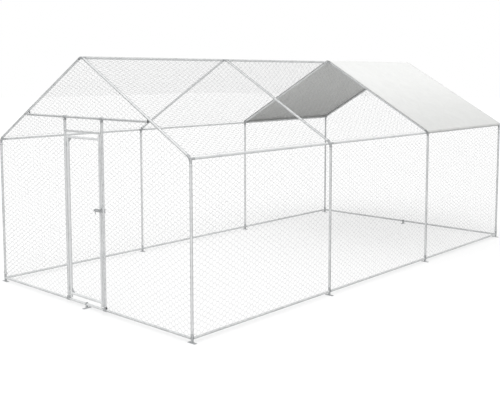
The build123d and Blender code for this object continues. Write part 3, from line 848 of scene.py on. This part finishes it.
for start, end in zip(frame_places, frame_places[1:]):
    near_end = start + TIES_CLEAR_OF_CORNER
    far_end = end - TIES_CLEAR_OF_CORNER
    ridge_edges = []
    for side in (1, -1):
        off_roof = Vector((side * sin(ROOF_PITCH), 0, cos(ROOF_PITCH)))
        up_slope = Vector((-side * cos(ROOF_PITCH), 0, sin(ROOF_PITCH)))
        above_corner = Vector((side * half_width, 0, eave_height)) + NET_STAND_OFF * off_roof
        wall_edge = Vector((side * (half_width + NET_STAND_OFF), 0, eave_height - EAVE_EDGE))
        ridge_edges.append(above_corner + (slope_length - RIDGE_EDGE) * up_slope)
        x = side * eave_rail.x
        rail_edges = [wall_edge, above_corner + EAVE_EDGE * up_slope]
        outward = Vector((side, 0, 1)).normalized()
        frame_ties += ties_along((x, near_end, eave_rail.z), (x, far_end, eave_rail.z), outward, rail_edges)
        x = side * half_width
        frame_ties += ties_along((x, near_end, ground_rail_height), (x, far_end, ground_rail_height), (side, 0, 0))
    frame_ties += ties_along((0, near_end, ridge_rail.z), (0, far_end, ridge_rail.z), (0, 0, 1), ridge_edges)

clear_of_latch = 0.12
for side in (1, -1):
    x = side * door_post
    frame_ties += ties_along((x, front, 0.15), (x, front, stop_height - clear_of_latch), (0, -1, 0))
    frame_ties += ties_along((x, front, stop_height + clear_of_latch), (x, front, lintel_height - 0.06), (0, -1, 0))
    frame_ties += ties_along((side * (door_post + 0.06), front, header_height), (side * 0.86, front, header_height), (0, -1, 0))
frame_ties += ties_along((-0.2, front, header_height), (0.2, front, header_height), (0, -1, 0))
frame_ties += ties_along((-0.2, front, lintel_height), (0.2, front, lintel_height), (0, -1, 0))
place_mesh("wire_ties_frame", one_mesh("wire_ties_frame", frame_ties), wire_zinc, "frame")

door_ties = []
for x in (hinge_stile, latch_stile):
    door_ties += ties_along((x, front, 0.20), (x, front, stop_height - clear_of_latch), (0, 1, 0))
    door_ties += ties_along((x, front, stop_height + clear_of_latch), (x, front, 1.55), (0, 1, 0))
for node in ("door_rail_bottom", "door_rail_top"):
    z = middle_of(node).z
    door_ties += ties_along((-0.15, front, z), (0.15, front, z), (0, 1, 0))
place_mesh("wire_ties_door", one_mesh("wire_ties_door", door_ties), wire_zinc, "door")


# Roof cover
# A white coated sheet, drawn over the ridge of the rear bay and down over both eave rails, with a
# doubled hem all round. It rests on the netting and rafters and is a little slack between them.

COVER_STAND_OFF = 0.0162
COVER_EAVE_RADIUS = 0.030
COVER_RIDGE_RADIUS = 0.060
COVER_THICKNESS = 0.0005
HEM_WIDTH = 0.035
HEM_THICKNESS = 0.0012
WRINKLE_HEIGHT = 0.009
COVER_COLOUR_TOP = (0.76, 0.765, 0.755, 1.0)
# The darker colour that the outer side takes lower down the slopes.
COVER_COLOUR_TOP_LOWER_DOWN = (0.50, 0.505, 0.495, 1.0)
# Painted shade: the inner side's two colours are darker than the outer side's, standing in for the shade under the
# roof.
COVER_COLOUR_UNDER_PAINTED_SHADE = (0.72, 0.725, 0.71, 1.0)
COVER_COLOUR_UNDER_LOW_PAINTED_SHADE = (0.40, 0.40, 0.39, 1.0)

cover_low, cover_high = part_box("roof_cover")
cover_start = cover_low.y
cover_end = cover_high.y


def cover_profile(spacing):
    """Points across the sheet from one hem over the ridge to the other, and how far along each is."""
    side = half_width + COVER_STAND_OFF
    eave = np.array([side, eave_height + COVER_STAND_OFF * tan(pi / 6)])
    top = np.array([0.0, eave_height + half_width * tan(ROOF_PITCH) + COVER_STAND_OFF / cos(ROOF_PITCH)])
    points = [np.array([side, cover_low.z])]

    def round_corner(before, corner_point, after, radius):
        way_in = (before - corner_point) / np.linalg.norm(before - corner_point)
        way_out = (after - corner_point) / np.linalg.norm(after - corner_point)
        half_angle = np.arccos(way_in @ way_out) / 2
        centre = corner_point + (way_in + way_out) / np.linalg.norm(way_in + way_out) * radius / sin(half_angle)
        first = corner_point + way_in * radius / tan(half_angle)
        last = corner_point + way_out * radius / tan(half_angle)
        for share in np.linspace(0, 1, 9):
            spoke = (first - centre) * (1 - share) + (last - centre) * share
            points.append(centre + spoke / np.linalg.norm(spoke) * radius)

    foot_right = points[0]
    foot_left = foot_right * [-1, 1]
    eave_left = eave * [-1, 1]
    round_corner(foot_right, eave, top, COVER_EAVE_RADIUS)
    round_corner(eave, top, eave_left, COVER_RIDGE_RADIUS)
    round_corner(top, eave_left, foot_left, COVER_EAVE_RADIUS)
    points.append(foot_left)
    line = np.array(points)
    travelled = np.concatenate([[0], np.cumsum(np.linalg.norm(np.diff(line, axis=0), axis=1))])
    at = np.linspace(0, travelled[-1], ceil(travelled[-1] / spacing) + 1)
    return np.stack([np.interp(at, travelled, line[:, 0]), np.interp(at, travelled, line[:, 1])], axis=1), at


def smooth(value):
    clipped = np.clip(value, 0, 1)
    return clipped * clipped * (3 - 2 * clipped)


def cover_lift(from_ridge, along, left):
    """How far the sheet stands off the netting: long folds down the slope, deeper low down and
    towards the rear, and tied close along its four hems."""
    fold = 0.5 + 0.5 * np.sin(13.0 * along + 3.1 * from_ridge + 1.7 * np.sin(4.3 * from_ridge + 2.2 * along) + 2.0 * left)
    cross = 0.5 + 0.5 * np.sin(9.0 * from_ridge - 5.0 * along + 1.2 * np.sin(6.1 * along) + left)
    depth = smooth((from_ridge - 0.15) / 1.0) * (1 - 0.8 * smooth((from_ridge - 1.58) / 0.12))
    rearward = 0.5 + 0.5 * smooth((along - cover_start) / (cover_end - cover_start))
    tied = 0.15 + 0.85 * smooth(np.minimum(along - cover_start, cover_end - along) / 0.20)
    return WRINKLE_HEIGHT * depth * rearward * tied * (0.65 * fold**2 + 0.35 * cross)


profile, travelled = cover_profile(0.02)
length = travelled[-1]
hem_lines = [0.0, HEM_WIDTH - 0.001, HEM_WIDTH + 0.001]


def grid_lines(start, end, count):
    """Even lines between two edges, and two close together at each hem's inner edge."""
    inside = np.linspace(start + HEM_WIDTH + 0.02, end - HEM_WIDTH - 0.02, count)
    return np.concatenate([np.add(start, hem_lines), inside, np.subtract(end, hem_lines[::-1])])


across_at = grid_lines(0.0, length, 170)
along_at = grid_lines(cover_start, cover_end, 96)
direction = np.gradient(profile, axis=0)
direction /= np.linalg.norm(direction, axis=1)[:, None]
off_side = np.stack([direction[:, 1], -direction[:, 0]], axis=1)
off_side *= np.sign(off_side[len(off_side) // 2, 1])


def sheet_points(across_places, along_places, above):
    """Points of the sheet's outer side and further out, for places across and along it."""
    x = np.interp(across_places, travelled, profile[:, 0])
    z = np.interp(across_places, travelled, profile[:, 1])
    out_x = np.interp(across_places, travelled, off_side[:, 0])
    out_z = np.interp(across_places, travelled, off_side[:, 1])
    off = cover_lift(np.abs(across_places - length / 2), along_places, x < 0) + above
    return np.stack([x + out_x * off, along_places, z + out_z * off], axis=-1)


across_grid, along_grid = np.meshgrid(across_at, along_at, indexing="ij")
from_hems = np.minimum(across_grid, length - across_grid)
from_edge = np.minimum(from_hems, np.minimum(along_grid - cover_start, cover_end - along_grid))
hem_rise = HEM_THICKNESS * (from_edge < HEM_WIDTH)
outer_side = sheet_points(across_grid, along_grid, COVER_THICKNESS + hem_rise).reshape(-1, 3)
inner_side = sheet_points(across_grid, along_grid, 0.0).reshape(-1, 3)
rows, columns = across_grid.shape
index = np.arange(rows * columns).reshape(rows, columns)
patches = np.stack([index[:-1, :-1], index[1:, :-1], index[1:, 1:], index[:-1, 1:]], axis=-1).reshape(-1, 4)
rim = np.concatenate([index[:, 0], index[-1, 1:], index[::-1, -1][1:], index[0, ::-1][1:]])
second = rows * columns
rim_faces = [(a, b, b + second, a + second) for a, b in zip(rim, rim[1:])]
cover_mesh = bpy.data.meshes.new("roof_cover_sheet")
faces = [tuple(patch) for patch in patches] + [tuple(patch[::-1] + second) for patch in patches] + rim_faces
cover_mesh.from_pydata(np.concatenate([outer_side, inner_side]).tolist(), [], [[int(corner) for corner in face] for face in faces])
cover_mesh.polygons.foreach_set("use_smooth", [True] * len(faces))
sides_of_sheet = [0] * len(patches) + [1] * len(patches) + [0] * len(rim_faces)
builder = bmesh.new()
builder.from_mesh(cover_mesh)
bmesh.ops.recalc_face_normals(builder, faces=builder.faces)
builder.to_mesh(cover_mesh)
builder.free()
cover_mesh.polygons.foreach_set("material_index", sides_of_sheet)


def coated_cloth(name, colour, darker_colour, roughness):
    """Woven tape coated on both sides: a fine square weave, faint creases, and a colour that darkens lower down the
    slopes, which on the sheet's inner side is painted shade.
    """
    material = bpy.data.materials.new(name)
    material.use_nodes = True
    nodes = material.node_tree.nodes
    shader = nodes["Principled BSDF"]
    place = nodes.new("ShaderNodeTexCoord")
    weave = nodes.new("ShaderNodeTexWave")
    weave.inputs["Scale"].default_value = 320.0
    weft = nodes.new("ShaderNodeTexWave")
    weft.bands_direction = "Y"
    weft.inputs["Scale"].default_value = 320.0
    cloth = nodes.new("ShaderNodeMath")
    cloth.operation = "MAXIMUM"
    creases = nodes.new("ShaderNodeTexNoise")
    creases.inputs["Scale"].default_value = 7.0
    creases.inputs["Detail"].default_value = 6.0
    creases.inputs["Distortion"].default_value = 1.4
    # The colour darkens lower down the slopes and a little with the crease noise; on the inner side this darkening
    # is painted shade.
    height = nodes.new("ShaderNodeSeparateXYZ")
    low_down = nodes.new("ShaderNodeMapRange")
    low_down.interpolation_type = "SMOOTHSTEP"
    low_down.inputs["From Min"].default_value = 2.35
    low_down.inputs["From Max"].default_value = 1.50
    low_down.inputs["To Max"].default_value = 0.6
    darkening = nodes.new("ShaderNodeMath")
    darkening.operation = "MULTIPLY_ADD"
    darkening.inputs[1].default_value = 0.35
    tint = nodes.new("ShaderNodeMix")
    tint.data_type = "RGBA"
    tint.inputs["A"].default_value = colour
    tint.inputs["B"].default_value = darker_colour
    fine = nodes.new("ShaderNodeBump")
    fine.inputs["Strength"].default_value = 0.25
    fine.inputs["Distance"].default_value = 0.0003
    broad = nodes.new("ShaderNodeBump")
    broad.inputs["Strength"].default_value = 0.35
    broad.inputs["Distance"].default_value = 0.01
    shader_link(material, place.outputs["Object"], weave.inputs["Vector"])
    shader_link(material, place.outputs["Object"], weft.inputs["Vector"])
    shader_link(material, weave.outputs["Fac"], cloth.inputs[0])
    shader_link(material, weft.outputs["Fac"], cloth.inputs[1])
    shader_link(material, cloth.outputs[0], fine.inputs["Height"])
    shader_link(material, place.outputs["Object"], creases.inputs["Vector"])
    shader_link(material, creases.outputs["Fac"], broad.inputs["Height"])
    shader_link(material, broad.outputs["Normal"], fine.inputs["Normal"])
    shader_link(material, fine.outputs["Normal"], shader.inputs["Normal"])
    shader_link(material, place.outputs["Object"], height.inputs[0])
    shader_link(material, height.outputs["Z"], low_down.inputs["Value"])
    shader_link(material, creases.outputs["Fac"], darkening.inputs[0])
    shader_link(material, low_down.outputs["Result"], darkening.inputs[2])
    shader_link(material, darkening.outputs[0], tint.inputs["Factor"])
    shader_link(material, tint.outputs["Result"], shader.inputs["Base Color"])
    shader.inputs["Roughness"].default_value = roughness
    return material


cover_mesh.materials.append(coated_cloth("cover_outside", COVER_COLOUR_TOP, COVER_COLOUR_TOP_LOWER_DOWN, 0.5))
# The inner side's cloth is a darker copy of the outer side's: painted shade under the roof.
cover_mesh.materials.append(coated_cloth("cover_inside_painted_shade", COVER_COLOUR_UNDER_PAINTED_SHADE, COVER_COLOUR_UNDER_LOW_PAINTED_SHADE, 0.6))
roof_cover_sheet = bpy.data.objects.new("roof_cover_sheet", cover_mesh)
bpy.context.scene.collection.objects.link(roof_cover_sheet)
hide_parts("roof_cover")
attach(roof_cover_sheet, "frame")


# Cover seams and ties
# The hems are sewn with one row of stitches and have pressed steel eyelets. Nylon cable ties pass
# through the eyelets, round the rafters and the eave rails.

STITCH_FROM_HEM_EDGE = 0.004
STITCH_LENGTH = 0.003
THREAD_RADIUS = 0.0004
EYELET_FROM_EDGE = 0.028
EYELET_FROM_HEM = 0.020
EYELET = ((-0.0004, 0.0085), (0.0008, 0.0085), (0.0014, 0.0075), (0.0010, 0.0058), (0.0002, 0.0050))
EYELETS_FROM_RIDGE = (0.40, 0.90, 1.40)
EYELETS_FROM_FRAME = (0.30, 0.76, 1.22, 1.66)
TIE_STRAP_WIDTH = 0.0036
TIE_STRAP_THICKNESS = 0.0012
TIE_HEAD = ((-0.0030, 0.0034), (-0.0024, 0.0040), (0.0024, 0.0040), (0.0030, 0.0034))
NYLON_COLOUR = (0.80, 0.80, 0.77, 1.0)
NYLON_COLOUR_AGED = (0.66, 0.65, 0.60, 1.0)
THREAD_COLOUR = (0.78, 0.79, 0.78, 1.0)
THREAD_COLOUR_DARK = (0.55, 0.56, 0.55, 1.0)

hem_top = COVER_THICKNESS + HEM_THICKNESS


def plain_plastic(name, colour, other, grain_scale, roughness):
    """Nylon or thread: two tones blended by a noise, with a fine relief."""
    material = bpy.data.materials.new(name)
    material.use_nodes = True
    nodes = material.node_tree.nodes
    shader = nodes["Principled BSDF"]
    place = nodes.new("ShaderNodeTexCoord")
    grain = nodes.new("ShaderNodeTexNoise")
    grain.inputs["Scale"].default_value = grain_scale
    tint = nodes.new("ShaderNodeMix")
    tint.data_type = "RGBA"
    tint.inputs["A"].default_value = colour
    tint.inputs["B"].default_value = other
    relief = nodes.new("ShaderNodeBump")
    relief.inputs["Strength"].default_value = 0.3
    relief.inputs["Distance"].default_value = 0.0001
    shader_link(material, place.outputs["Object"], grain.inputs["Vector"])
    shader_link(material, grain.outputs["Fac"], tint.inputs["Factor"])
    shader_link(material, tint.outputs["Result"], shader.inputs["Base Color"])
    shader_link(material, grain.outputs["Fac"], relief.inputs["Height"])
    shader_link(material, relief.outputs["Normal"], shader.inputs["Normal"])
    shader.inputs["Roughness"].default_value = roughness
    return material


def stitches(across_ends, along_ends, level):
    """A row of thread between two places on the sheet, over and under at every stitch."""
    run = max(abs(across_ends[1] - across_ends[0]), abs(along_ends[1] - along_ends[0]))
    count = ceil(run / STITCH_LENGTH)
    dip = THREAD_RADIUS * (-1.0) ** np.arange(count)
    line = sheet_points(np.linspace(*across_ends, count), np.linspace(*along_ends, count), hem_top + dip)
    return drawn_along(line, round_section(THREAD_RADIUS, 3), level)


seam = HEM_WIDTH - STITCH_FROM_HEM_EDGE
threads = [stitches((at, at), (cover_start + seam, cover_end - seam), (0, 0, 1)) for at in (seam, length - seam)]
threads += [stitches((seam, length - seam), (y, y), (0, 1, 0)) for y in (cover_start + seam, cover_end - seam)]
thread = plain_plastic("seam_thread", THREAD_COLOUR, THREAD_COLOUR_DARK, 700.0, 0.8)
cover_seams = place_mesh("cover_seams", one_mesh("cover_seams", threads), thread, "frame")


def on_sheet(at_across, y):
    """A place on the outer side of the hem, and the direction off the sheet there."""
    spot = sheet_points(np.array([at_across]), np.array([y]), hem_top)[0]
    off = (np.interp(at_across, travelled, off_side[:, 0]), 0.0, np.interp(at_across, travelled, off_side[:, 1]))
    return Vector(spot), Vector(off).normalized()


def cable_tie(place, axis, outward, corners):
    """A flat nylon strap round a tube and the sheet's edge, with its head on the inner side."""
    sideways = axis.cross(outward)
    spots = [((corner_place - place).dot(outward), (corner_place - place).dot(sideways)) for corner_place in corners]
    around = [(u, v, TIE_STRAP_THICKNESS) for u, v in spots]
    hull = loop_round([(0, 0, TUBE_RADIUS + TIE_STRAP_THICKNESS / 2), *around])
    closed = np.concatenate([hull, hull[:1]])
    line = np.array(place) + closed @ np.array([outward, sideways])
    half_thickness = TIE_STRAP_THICKNESS / 2
    half_strap = TIE_STRAP_WIDTH / 2
    section = np.array([(half_thickness, half_strap), (-half_thickness, half_strap), (-half_thickness, -half_strap), (half_thickness, -half_strap)])
    head_place = Vector(line[0])
    return [drawn_along(line, section, axis), turned(head_place, sideways, TIE_HEAD, 4)]


eyelets = []
cable_ties = []
for side in (1, -1):
    off_roof = Vector((side * sin(ROOF_PITCH), 0, cos(ROOF_PITCH)))
    up_slope = Vector((-side * cos(ROOF_PITCH), 0, sin(ROOF_PITCH)))
    for frame_y, edge_y, inward in ((frame_places[2], cover_start, 1), (rear, cover_end, -1)):
        for from_ridge in EYELETS_FROM_RIDGE:
            across_here = length / 2 + (from_ridge if profile[-1, 0] * side > 0 else -from_ridge)
            hole, off = on_sheet(across_here, edge_y + inward * EYELET_FROM_EDGE)
            edge, _ = on_sheet(across_here, edge_y)
            eyelets.append(turned(hole, off, EYELET, 18))
            tube_place = Vector((hole.x, frame_y, hole.z)) - (hole.x * off_roof.x + (hole.z - ridge_height) * off_roof.z) * off_roof
            cable_ties += cable_tie(tube_place, up_slope, off_roof, [hole, edge])
    for from_frame in EYELETS_FROM_FRAME:
        y = frame_places[2] + from_frame
        at_hem = EYELET_FROM_HEM if profile[0, 0] * side > 0 else length - EYELET_FROM_HEM
        hem_edge = 0.0 if profile[0, 0] * side > 0 else length
        hole, off = on_sheet(at_hem, y)
        edge, _ = on_sheet(hem_edge, y)
        eyelets.append(turned(hole, off, EYELET, 18))
        rail_place = Vector((side * eave_rail.x, y, eave_rail.z))
        cable_ties += cable_tie(rail_place, Vector((0, 1, 0)), Vector((side, 0, 0)), [hole, edge])

cover_eyelets = place_mesh("cover_eyelets", one_mesh("cover_eyelets", eyelets), plated_steel, "frame")
nylon = plain_plastic("nylon", NYLON_COLOUR, NYLON_COLOUR_AGED, 250.0, 0.4)
place_mesh("cover_cable_ties", one_mesh("cover_cable_ties", cable_ties), nylon, "frame")
